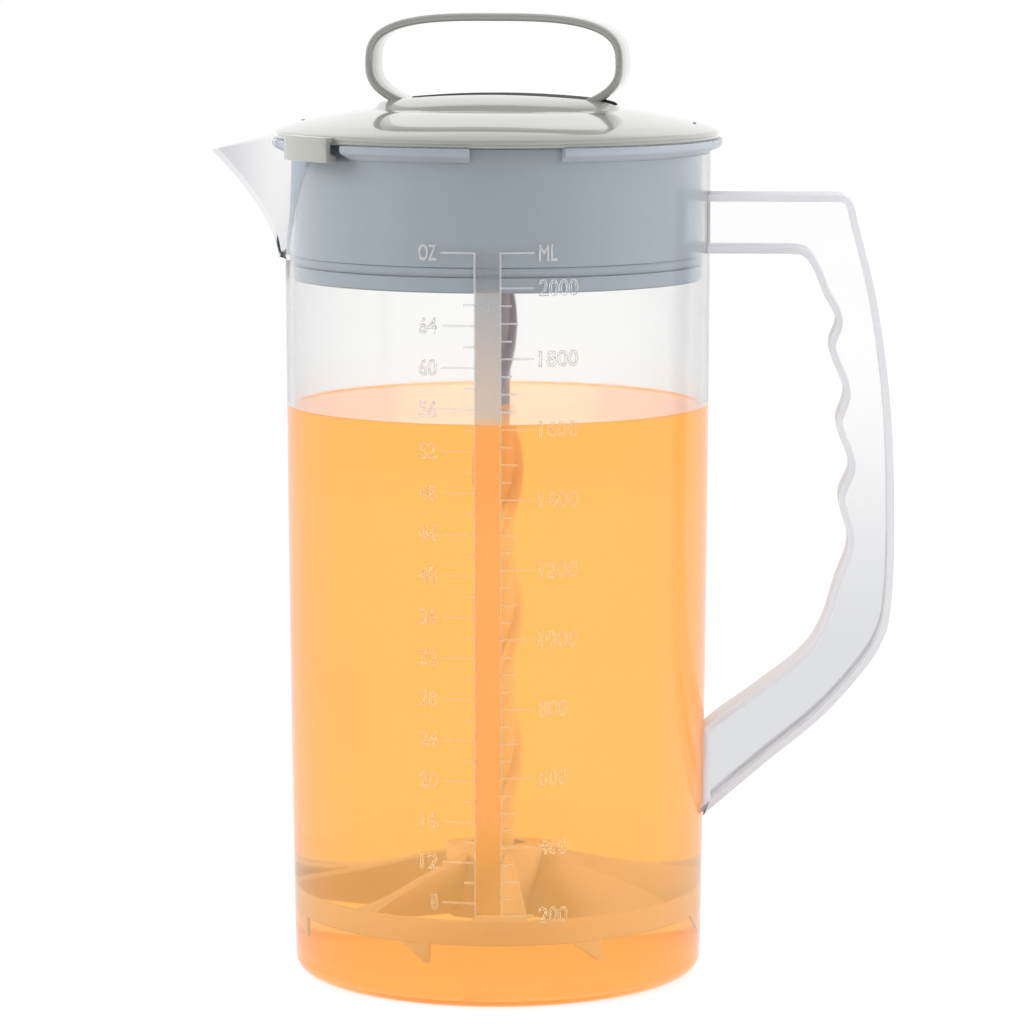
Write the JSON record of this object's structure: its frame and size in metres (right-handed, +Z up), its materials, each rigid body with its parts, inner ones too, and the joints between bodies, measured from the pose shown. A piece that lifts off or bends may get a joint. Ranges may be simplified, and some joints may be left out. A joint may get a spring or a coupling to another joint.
{
  "type": "quick stir pitcher",
  "caption": "Clear jug with a beak spout and beam handle, and a turn-lock lid whose loop plunger spins a toothed agitator on a twisted shaft.",
  "frame": {"origin": "centre of the jug's flat underside, on the axis of the jug and of every joint", "axes": "+Z up, +X along the jug's handle, -X to the spout, -Y to the side with the volume scale"},
  "size_m": [0.1941, 0.1266, 0.2735],
  "materials": {
    "clear": "clear gloss",
    "warm_grey": "gloss",
    "blue_grey": "satin",
    "white": "satin",
    "shaft_grey": "satin",
    "seal": "matt",
    "steel": "brushed"
  },
  "bodies": {
    "pitcher": {"pitcher": "clear"},
    "seal": {"skirt_seal": "seal"},
    "lid": {"lid_cover": "warm_grey", "lid_skirt": "blue_grey", "shaft_nut": "white"},
    "handle": {"plunger_handle": "warm_grey", "swivel_washer": "steel"},
    "mixer": {"spiral_shaft": "shaft_grey", "swivel_screw": "steel", "agitator": "white", "agitator_screw": "steel"}
  },
  "joints": [
    {"name": "lid_lift", "type": "slide", "parent": "pitcher", "child": "seal", "axis": [0, 0, 1], "range_m": [0, 0.245]},
    {"name": "lid_turn", "type": "hinge", "parent": "seal", "child": "lid", "pos_m": [0, 0, 0.2382], "axis": [0, 0, 1], "range_deg": [0, 60]},
    {"name": "plunger", "type": "slide", "parent": "lid", "child": "handle", "axis": [0, 0, 1], "range_m": [0, 0.17]},
    {"name": "shaft_spin", "type": "hinge", "parent": "handle", "child": "mixer", "pos_m": [0, 0, 0.2382], "axis": [0, 0, 1], "range_deg": [0, 765]}
  ],
  "couplings": [
    {"joint": "shaft_spin", "follows": "plunger", "rad_per_m": 78.052}
  ]
}
